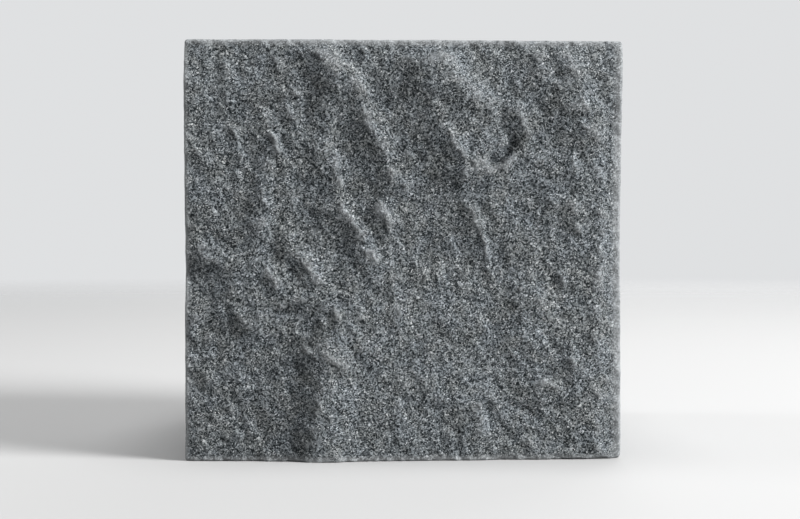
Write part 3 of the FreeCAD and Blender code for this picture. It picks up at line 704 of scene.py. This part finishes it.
class NodeDesk:
    """Places and joins the nodes of one material or node group."""

    # How far apart the nodes stand on their sheet, and over how many rows.
    STEP_ACROSS = 180.0
    STEP_DOWN = 60.0
    ROWS = 5

    # The colour sockets of a Mix node, which also has sockets for numbers and vectors.
    COLOUR_A = 6
    COLOUR_B = 7
    COLOUR_RESULT = 2

    # The shader sockets of a Mix Shader node, which share one name.
    SHADER_A = 1
    SHADER_B = 2

    def __init__(self, tree: bpy.types.NodeTree) -> None:
        """Starts on an empty tree.

        Args:
            tree: The tree to fill.
        """
        self.tree = tree
        self.count = 0

    @classmethod
    def on(cls, owner: bpy.types.Material | bpy.types.World) -> "NodeDesk":
        """Clears the nodes of a material or a world.

        Args:
            owner: The material or the world.

        Returns:
            A desk on its empty tree.
        """
        owner.use_nodes = True
        owner.node_tree.nodes.clear()
        return cls(owner.node_tree)

    def add(self, kind: str, **values: object) -> bpy.types.Node:
        """Adds a node.

        Args:
            kind: The node's type name.
            values: Settings of the node, or values of its input sockets by their names with
                underscores for spaces. An output socket as a value is joined.

        Returns:
            The node.
        """
        node = self.tree.nodes.new(kind)
        row = self.count % self.ROWS
        node.location = (self.count * self.STEP_ACROSS, -row * self.STEP_DOWN)
        self.count += 1
        settings = {name: value for name, value in values.items() if hasattr(node, name)}
        for name, value in settings.items():
            setattr(node, name, value)
        for name, value in values.items():
            if name not in settings:
                self.feed(node.inputs[name.replace("_", " ")], value)
        return node

    def feed(self, socket: bpy.types.NodeSocket, value: object) -> None:
        """Joins an output to a socket, or sets the socket's own value.

        Args:
            socket: The input socket.
            value: An output socket or a constant.
        """
        if isinstance(value, bpy.types.NodeSocket):
            self.tree.links.new(value, socket)
        else:
            socket.default_value = value

    def math(self, operation: str, *terms: object) -> bpy.types.NodeSocket:
        """Adds a Math node.

        Args:
            operation: The node's operation.
            terms: Numbers or output sockets.

        Returns:
            The node's output.
        """
        node = self.add("ShaderNodeMath", operation=operation)
        for socket, term in zip(node.inputs, terms):
            self.feed(socket, term)
        return node.outputs[0]

    def span(
        self, value: object, low: float, high: float, ends: Span = (0.0, 1.0)
    ) -> bpy.types.NodeSocket:
        """Turns a value's place between two limits into a smooth share.

        Args:
            value: An output socket.
            low: Where the share starts.
            high: Where the share ends, which may lie below where it starts.
            ends: The share at either limit.

        Returns:
            The share's output.
        """
        node = self.add(
            "ShaderNodeMapRange",
            interpolation_type="SMOOTHSTEP",
            Value=value,
            From_Min=low,
            From_Max=high,
            To_Min=ends[0],
            To_Max=ends[1],
        )
        return node.outputs["Result"]

    def mix(
        self, share: object, first: object, second: object, blend: str = "MIX"
    ) -> bpy.types.NodeSocket:
        """Mixes two colours.

        Args:
            share: How much of the second colour is taken.
            first: The first colour.
            second: The second colour.
            blend: The node's way of blending.

        Returns:
            The mixed colour's output.
        """
        node = self.add("ShaderNodeMix", data_type="RGBA", blend_type=blend, Factor=share)
        self.feed(node.inputs[self.COLOUR_A], first)
        self.feed(node.inputs[self.COLOUR_B], second)
        return node.outputs[self.COLOUR_RESULT]

    def vector(self, operation: str, *terms: object) -> bpy.types.NodeSocket:
        """Adds a Vector Math node.

        Args:
            operation: The node's operation.
            terms: Vectors or output sockets.

        Returns:
            The node's vector output.
        """
        node = self.add("ShaderNodeVectorMath", operation=operation)
        for socket, term in zip(node.inputs, terms):
            self.feed(socket, term)
        return node.outputs[0]

    def scaled(self, vector: object, factor: object) -> bpy.types.NodeSocket:
        """Multiplies a vector by a number.

        Args:
            vector: The vector.
            factor: The number.

        Returns:
            The scaled vector's output.
        """
        node = self.add("ShaderNodeVectorMath", operation="SCALE", Scale=factor)
        self.feed(node.inputs[0], vector)
        return node.outputs[0]

    def bump(self, distance: float, height: object, normal: object) -> bpy.types.NodeSocket:
        """Bends a normal by fine relief.

        Args:
            distance: The relief's height, in metres.
            height: An output that gives the relief, from 0 to 1.
            normal: The normal's output.

        Returns:
            The bent normal's output.
        """
        node = self.add("ShaderNodeBump", Distance=distance, Height=height, Normal=normal)
        return node.outputs["Normal"]

    def mix_shaders(self, share: object, first: object, second: object) -> bpy.types.NodeSocket:
        """Mixes two shaders.

        Args:
            share: How much of the second shader is taken.
            first: The first shader's output.
            second: The second shader's output.

        Returns:
            The mixed shader's output.
        """
        node = self.add("ShaderNodeMixShader", Fac=share)
        self.feed(node.inputs[self.SHADER_A], first)
        self.feed(node.inputs[self.SHADER_B], second)
        return node.outputs["Shader"]

    def show(self, shader: bpy.types.NodeSocket, kind: str = "ShaderNodeOutputMaterial") -> None:
        """Joins a shader to the tree's output.

        Args:
            shader: The shader's output.
            kind: The output node's type name.
        """
        self.feed(self.add(kind).inputs["Surface"], shader)


def new_group(name: str, inputs: dict[str, tuple[str, object]], outputs: dict[str, str]) -> NodeDesk:
    """Starts a shader node group with named sockets.

    Args:
        name: The group's name.
        inputs: Socket names to their kind and first value.
        outputs: Socket names to their kind.

    Returns:
        A desk on the empty group.
    """
    group = bpy.data.node_groups.new(name, "ShaderNodeTree")
    for socket_name, (kind, value) in inputs.items():
        socket = group.interface.new_socket(name=socket_name, in_out="INPUT", socket_type=kind)
        if value is not None:
            socket.default_value = value
    for socket_name, kind in outputs.items():
        group.interface.new_socket(name=socket_name, in_out="OUTPUT", socket_type=kind)
    return NodeDesk(group)


@dataclass(frozen=True)
class MineralGrains:
    """Interlocked mineral grains: dark mica, grey quartz, pale feldspar and a few bright flecks.

    Each cell has a random tone from 0 to 1, which says what mineral it is. Where two numbers stand
    together, a mineral starts to show at the first and is whole at the second.

    Attributes:
        wander: How far the grains' outlines wander, in grains.
        wander_scale: How many waves of that wandering lie along a grain.
        large_scale: How many large cells lie along a small one.
        large_from: Share of the large cells that small ones fill.
        mica: Tones of the mica.
        feldspar: Tones over which the quartz gives way to feldspar.
        fleck: Tones of the bright flecks.
        gap: Distances from a grain's edge, in grains, over which the gap shows.
        warmth: Values of the clouds over which cool stone gives way to warm stone.
    """

    wander: float = 0.35
    wander_scale: float = 1.6
    large_scale: float = 0.6
    large_from: float = 0.74
    mica: Span = (0.24, 0.20)
    feldspar: Span = (0.20, 0.85)
    fleck: Span = (0.93, 0.95)
    gap: Span = (0.14, 0.0)
    warmth: Span = (0.3, 0.7)

    def group(self) -> bpy.types.NodeTree:
        """Builds the grains as a node group.

        Returns:
            A group that gives the stone's colour, the normal of each grain's broken face, the grains'
            height above the gaps between them and a mask of the mica.
        """
        desk = new_group(
            "mineral_grains",
            {
                "Vector": ("NodeSocketVector", None),
                "Normal": ("NodeSocketVector", None),
                "Grain Size": ("NodeSocketFloat", 0.0005),
                "Tint Size": ("NodeSocketFloat", 0.004),
                "Tilt": ("NodeSocketFloat", 0.3),
                "Mica": ("NodeSocketColor", (0.02, 0.02, 0.02, 1.0)),
                "Quartz": ("NodeSocketColor", (0.15, 0.15, 0.15, 1.0)),
                "Feldspar": ("NodeSocketColor", (0.35, 0.35, 0.35, 1.0)),
                "Fleck": ("NodeSocketColor", (0.5, 0.5, 0.5, 1.0)),
                "Gap": ("NodeSocketColor", (0.5, 0.5, 0.5, 1.0)),
                "Warm": ("NodeSocketColor", WHITE),
                "Cool": ("NodeSocketColor", WHITE),
            },
            {
                "Color": "NodeSocketColor",
                "Normal": "NodeSocketVector",
                "Height": "NodeSocketFloat",
                "Mica Mask": "NodeSocketFloat",
            },
        )
        given = desk.add("NodeGroupInput").outputs
        result = desk.add("NodeGroupOutput").inputs
        place = desk.scaled(given["Vector"], desk.math("DIVIDE", 1.0, given["Grain Size"]))
        waves = desk.add("ShaderNodeTexNoise", Vector=place, Scale=self.wander_scale, Detail=1.0)
        grains = desk.vector("MULTIPLY_ADD", waves.outputs["Color"], (self.wander,) * 3, place)
        small = desk.add("ShaderNodeTexVoronoi", Vector=grains, Scale=1.0).outputs["Color"]
        large = desk.add("ShaderNodeTexVoronoi", Vector=grains, Scale=self.large_scale).outputs["Color"]
        edge = desk.add("ShaderNodeTexVoronoi", feature="DISTANCE_TO_EDGE", Vector=grains, Scale=1.0)
        large_tone = desk.add("ShaderNodeSeparateColor", Color=large).outputs["Green"]
        own = desk.mix(desk.math("GREATER_THAN", large_tone, self.large_from), small, large)
        tone = desk.add("ShaderNodeSeparateColor", Color=own).outputs["Red"]

        mica = desk.span(tone, *self.mica)
        body = desk.mix(desk.span(tone, *self.feldspar), given["Quartz"], given["Feldspar"])
        body = desk.mix(desk.span(tone, *self.fleck), body, given["Fleck"])
        body = desk.mix(mica, body, given["Mica"])
        gap = desk.span(edge.outputs["Distance"], *self.gap)
        body = desk.mix(gap, body, desk.mix(1.0, body, given["Gap"], "MULTIPLY"))
        cloud = desk.scaled(given["Vector"], desk.math("DIVIDE", 1.0, given["Tint Size"]))
        clouds = desk.add("ShaderNodeTexNoise", Vector=cloud, Scale=1.0, Detail=3.0, Roughness=0.6)
        tint = desk.mix(desk.span(clouds.outputs["Fac"], *self.warmth), given["Cool"], given["Warm"])
        middle = (0.5, 0.5, 0.5)
        lean = desk.scaled(desk.vector("SUBTRACT", own, middle), given["Tilt"])
        facet = desk.vector("NORMALIZE", desk.vector("ADD", given["Normal"], lean))
        desk.feed(result["Color"], desk.mix(1.0, body, tint, "MULTIPLY"))
        desk.feed(result["Normal"], facet)
        desk.feed(result["Height"], desk.math("SUBTRACT", 1.0, gap))
        desk.feed(result["Mica Mask"], mica)
        return desk.tree


def saw_group() -> bpy.types.NodeTree:
    """Makes the faint bowed lines that a saw blade leaves.

    Returns:
        A group that gives the lines' height.
    """
    desk = new_group(
        "saw_marks",
        {
            "Vector": ("NodeSocketVector", None),
            "Pitch": ("NodeSocketFloat", 0.0012),
            "Bow": ("NodeSocketFloat", 2.5),
        },
        {"Height": "NodeSocketFloat"},
    )
    given = desk.add("NodeGroupInput").outputs
    result = desk.add("NodeGroupOutput").inputs
    place = desk.add("ShaderNodeSeparateXYZ", Vector=given["Vector"])
    bow = desk.math("MULTIPLY", desk.math("POWER", place.outputs["Y"], 2.0), given["Bow"])
    run = desk.math("ADD", desk.math("ADD", place.outputs["X"], place.outputs["Z"]), bow)
    turns = desk.math("DIVIDE", run, given["Pitch"])
    lines = desk.add("ShaderNodeTexNoise", noise_dimensions="1D", W=turns, Scale=1.0, Detail=2.0)
    desk.feed(result["Height"], lines.outputs["Fac"])
    return desk.tree


@dataclass(frozen=True)
class GraniteFinish:
    """How one kind of face of the granite looks.

    Attributes:
        name: The material's name.
        grain: Size of the mineral grains, in metres.
        tint_size: Size of the patches of warmer and cooler stone, in metres.
        tilt: How far the grains' broken faces lean this way and that.
        mica: Colour of the dark grains.
        quartz: Colour of the grey grains.
        feldspar: Colour of the pale grains.
        fleck: Colour of the few bright grains.
        gap: What the gaps between the grains multiply the colours by.
        warm: What the warmer patches multiply the colours by.
        cool: What the cooler patches multiply the colours by.
        crushed_and_lit: Colour of the crushed grains along the arrises and on the crests, which also
            serves as painted highlight there.
        hollow_shade: What the hollows multiply the colours by, as painted shade.
        worn_and_lit: How much of the crushed colour, partly painted highlight, shows along the arrises.
        worn_scale: How many patches of more and of less crushed stone lie along a metre.
        worn_span: Values of those patches over which the stone grows crushed.
        crests_worn_and_lit: How much of the crushed colour shows on the crests, partly as wear and
            partly as painted highlight.
        proud_span: Heights in millimetres over which a crest grows pale, partly as painted highlight,
            and
        depths over which a hollow grows dark as painted shade.
        roughness: Roughness of the pale grains and of the dark flakes.
        shine: How strongly the stone mirrors, where 0.5 is a plain smooth surface.
        relief: Height of the grains above the gaps between them, in metres.
        saw_relief: Height of the saw's lines, in metres, or 0 where there are none.
    """

    name: str
    grain: float = 0.00024
    tint_size: float = 0.005
    tilt: float = 0.65
    mica: Colour = (0.016, 0.0215, 0.0245, 1.0)
    quartz: Colour = (0.052, 0.061, 0.0665, 1.0)
    feldspar: Colour = (0.232, 0.2505, 0.2605, 1.0)
    fleck: Colour = (0.38, 0.399, 0.411, 1.0)
    gap: Colour = (0.45, 0.46, 0.47, 1.0)
    warm: Colour = (1.02, 1.0, 0.97, 1.0)
    cool: Colour = (0.98, 1.0, 1.03, 1.0)
    crushed_and_lit: Colour = (0.312, 0.326, 0.334, 1.0)
    hollow_shade: Colour = (0.82, 0.83, 0.84, 1.0)
    worn_and_lit: float = 0.95
    worn_scale: float = 420.0
    worn_span: Span = (0.18, 0.46)
    crests_worn_and_lit: float = 0.38
    proud_span: Span = (0.1, 0.5)
    roughness: Span = (0.75, 0.45)
    shine: float = 0.18
    relief: float = 0.00004
    saw_relief: float = 0.0

    def make(self, grains: bpy.types.NodeTree, saw_marks: bpy.types.NodeTree) -> bpy.types.Material:
        """Builds the material.

        Args:
            grains: The group of mineral grains.
            saw_marks: The group of the saw's lines.

        Returns:
            The material.
        """
        material = bpy.data.materials.new(self.name)
        desk = NodeDesk.on(material)
        place = desk.add("ShaderNodeTexCoord").outputs["Object"]
        stone = desk.add(
            "ShaderNodeGroup",
            node_tree=grains,
            Vector=place,
            Normal=desk.add("ShaderNodeNewGeometry").outputs["Normal"],
            Grain_Size=self.grain,
            Tint_Size=self.tint_size,
            Tilt=self.tilt,
            Mica=self.mica,
            Quartz=self.quartz,
            Feldspar=self.feldspar,
            Fleck=self.fleck,
            Gap=self.gap,
            Warm=self.warm,
            Cool=self.cool,
        ).outputs
        # The arris strip is partly crushed grains and partly painted highlight.
        wear_and_highlight = desk.add("ShaderNodeAttribute", attribute_name="wear_and_highlight").outputs["Fac"]
        patches = desk.add("ShaderNodeTexNoise", Vector=place, Scale=self.worn_scale, Detail=2.0)
        crushed_and_lit = desk.math("MULTIPLY", wear_and_highlight, desk.span(patches.outputs["Fac"], *self.worn_span))
        # Crests grow pale: partly crushed grains, partly painted highlight.
        proud = desk.add("ShaderNodeAttribute", attribute_name="proud").outputs["Fac"]
        low, high = self.proud_span
        crests = desk.math("MULTIPLY", desk.span(proud, low, high), self.crests_worn_and_lit)
        pale = desk.math("MAXIMUM", desk.math("MULTIPLY", crushed_and_lit, self.worn_and_lit), crests)
        # Hollows grow dark: painted shade.
        hollow_shade_mask = desk.span(proud, -low, -high)
        colour = desk.mix(hollow_shade_mask, stone["Color"], self.hollow_shade, "MULTIPLY")
        colour = desk.mix(pale, colour, self.crushed_and_lit)
        normal = desk.bump(self.relief, stone["Height"], stone["Normal"])
        if self.saw_relief > 0.0:
            lines = desk.add("ShaderNodeGroup", node_tree=saw_marks, Vector=place).outputs["Height"]
            normal = desk.bump(self.saw_relief, lines, normal)
        shader = desk.add(
            "ShaderNodeBsdfPrincipled",
            Base_Color=colour,
            Roughness=desk.span(stone["Mica Mask"], 0.0, 1.0, self.roughness),
            Specular_IOR_Level=self.shine,
            Normal=normal,
        )
        desk.show(shader.outputs["BSDF"])
        return material


@dataclass(frozen=True)
class Lamp:
    """One round soft lamp that is turned to the middle of the split face.

    Attributes:
        name: The lamp's name.
        towards: Direction from the split face to the lamp.
        distance: How far away it hangs, in metres.
        spread: Angle that the lamp fills, seen from the face, in radians.
        level: Light that it puts on a face turned to it, where 1 shows a colour as written.
    """

    name: str
    towards: tuple[float, float, float]
    distance: float
    spread: float
    level: float

    def place(self) -> None:
        """Hangs the lamp and turns it to the split face."""
        direction = Vector(self.towards).normalized()
        middle = Vector((0.0, CAD_LOW.y, (CAD_LOW.z + CAD_HIGH.z) / 2))
        bpy.ops.object.light_add(type="AREA", location=middle + direction * self.distance)
        lamp = bpy.context.object
        lamp.name = lamp.data.name = self.name
        lamp.rotation_euler = direction.to_track_quat("Z", "Y").to_euler()
        lamp.data.shape = "DISK"
        lamp.data.size = 2.0 * self.distance * tan(self.spread / 2)
        lamp.data.energy = self.level * (pi * self.distance) ** 2


@dataclass
class Studio:
    """The floor, the lamps, the world's light and the camera.

    Attributes:
        floor_size: Side of the floor, in metres.
        floor_fade: Where the floor starts to give way to the backdrop and where it ends, in metres.
        floor_seen: The floor's colour as the camera sees it.
        floor_bounce: The floor's colour where it throws light back on the sett.
        floor_roughness: The floor's roughness.
        backdrop: Colour that the camera sees past the floor.
        ambient: Level of the even light from all round.
        lamps: The lamps.
    """

    floor_size: float = 4.0
    floor_fade: Span = (0.2, 1.9)
    floor_seen: Colour = (0.40, 0.40, 0.40, 1.0)
    floor_bounce: Colour = (0.16, 0.16, 0.16, 1.0)
    floor_roughness: float = 0.9
    backdrop: Colour = (0.74, 0.75, 0.76, 1.0)
    ambient: float = 0.09
    lamps: tuple[Lamp, ...] = (
        Lamp("key_right", towards=(0.85, -0.36, 0.45), distance=1.5, spread=radians(28), level=2.34),
        Lamp("rim_left", towards=(-0.95, 0.12, 0.3), distance=2.0, spread=radians(20), level=0.45),
        Lamp("top_soft", towards=(0.0, 0.0, 1.0), distance=2.0, spread=radians(30), level=0.66),
        Lamp("back_soft", towards=(0.3, 0.9, 0.3), distance=2.0, spread=radians(40), level=0.5),
    )

    def build(self) -> None:
        """Sets up the studio."""
        self.floor()
        self.world()
        for lamp in self.lamps:
            lamp.place()
        PhotoCamera().place()

    def floor(self) -> None:
        """Lays a plain pale floor."""
        bpy.ops.object.select_all(action="DESELECT")
        bpy.ops.mesh.primitive_plane_add(size=self.floor_size, location=(0.0, 0.0, CAD_LOW.z))
        floor = bpy.context.object
        floor.name = "floor"
        material = bpy.data.materials.new("floor")
        desk = NodeDesk.on(material)
        colour = desk.mix(self.seen(desk), self.floor_bounce, self.floor_seen)
        roughness = self.floor_roughness
        stuff = desk.add("ShaderNodeBsdfPrincipled", Base_Color=colour, Roughness=roughness)
        nothing = desk.add("ShaderNodeBsdfTransparent")
        place = desk.add("ShaderNodeTexCoord").outputs["Object"]
        away = desk.add("ShaderNodeVectorMath", operation="LENGTH", Vector=place).outputs["Value"]
        fade = desk.span(away, *self.floor_fade)
        desk.show(desk.mix_shaders(fade, stuff.outputs["BSDF"], nothing.outputs["BSDF"]))
        floor.data.materials.append(material)

    def world(self) -> None:
        """Gives even light from all round, and a pale backdrop where the camera sees past the floor."""
        world = bpy.data.worlds.new("studio")
        bpy.context.scene.world = world
        desk = NodeDesk.on(world)
        light = desk.add("ShaderNodeBackground", Color=WHITE, Strength=self.ambient).outputs[0]
        backdrop = desk.add("ShaderNodeBackground", Color=self.backdrop, Strength=1.0).outputs[0]
        blend = desk.mix_shaders(self.seen(desk), light, backdrop)
        desk.show(blend, "ShaderNodeOutputWorld")

    def seen(self, desk: NodeDesk) -> bpy.types.NodeSocket:
        """Tells the rays that show the background from those that only carry light.

        Args:
            desk: A desk on the floor's or the world's tree.

        Returns:
            An output that is 1 for what the camera sees, also in a mirror or through glass.
        """
        rays = desk.add("ShaderNodeLightPath").outputs
        mirrored = desk.math("MAXIMUM", rays["Is Glossy Ray"], rays["Is Transmission Ray"])
        return desk.math("MAXIMUM", rays["Is Camera Ray"], mirrored)


@dataclass(frozen=True)
class PhotoCamera:
    """The level camera that sees the sett from the photograph's place.

    Attributes:
        place_m: The camera's place, in metres.
        heading: How far it is turned to the right of straight ahead, in radians.
        focal_px: Focal length in pixels of the photograph.
        width_px: Width of the photograph, in pixels.
        height_px: Height of the photograph, in pixels.
        horizon_px: Row of the horizon, in pixels from the top.
        sensor_mm: Width of the sensor that the focal length is turned into millimetres for.
        nearest_m: The nearest that it sees, in metres.
    """

    place_m: tuple[float, float, float] = (-0.0095, -0.3565, 0.0488)
    heading: float = radians(1.55)
    focal_px: float = 1371.0
    width_px: float = 800.0
    height_px: float = 519.0
    horizon_px: float = 247.0
    sensor_mm: float = 36.0
    nearest_m: float = 0.01

    def place(self) -> None:
        """Sets the camera up as the scene's own."""
        rotation = (radians(90), 0.0, -self.heading)
        bpy.ops.object.camera_add(location=self.place_m, rotation=rotation)
        camera = bpy.context.object
        camera.name = "photo_camera"
        camera.data.sensor_width = self.sensor_mm
        camera.data.lens = self.focal_px / self.width_px * self.sensor_mm
        camera.data.shift_y = -(self.height_px / 2 - self.horizon_px) / self.width_px
        camera.data.clip_start = self.nearest_m
        bpy.context.scene.camera = camera


def main() -> None:
    """Builds the sett and the studio."""
    logging.basicConfig(level=logging.INFO, format="%(message)s")
    bpy.context.scene.view_settings.view_transform = "Standard"
    stone = Block().build()
    grains, saw_marks = MineralGrains().group(), saw_group()
    split = GraniteFinish("split_granite")
    sawn = GraniteFinish(
        "sawn_granite", worn_and_lit=0.5, tilt=0.04, roughness=(0.8, 0.6), relief=0.00001, saw_relief=0.00005
    )
    for finish in (split, sawn):
        stone.data.materials.append(finish.make(grains, saw_marks))
    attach(stone, BODY)
    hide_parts(NODE)
    triangles = sum(len(face.vertices) - 2 for face in stone.data.polygons)
    LOG.info("%s: %d triangles", stone.name, triangles)
    Studio().build()


if __name__ == "__main__":
    main()
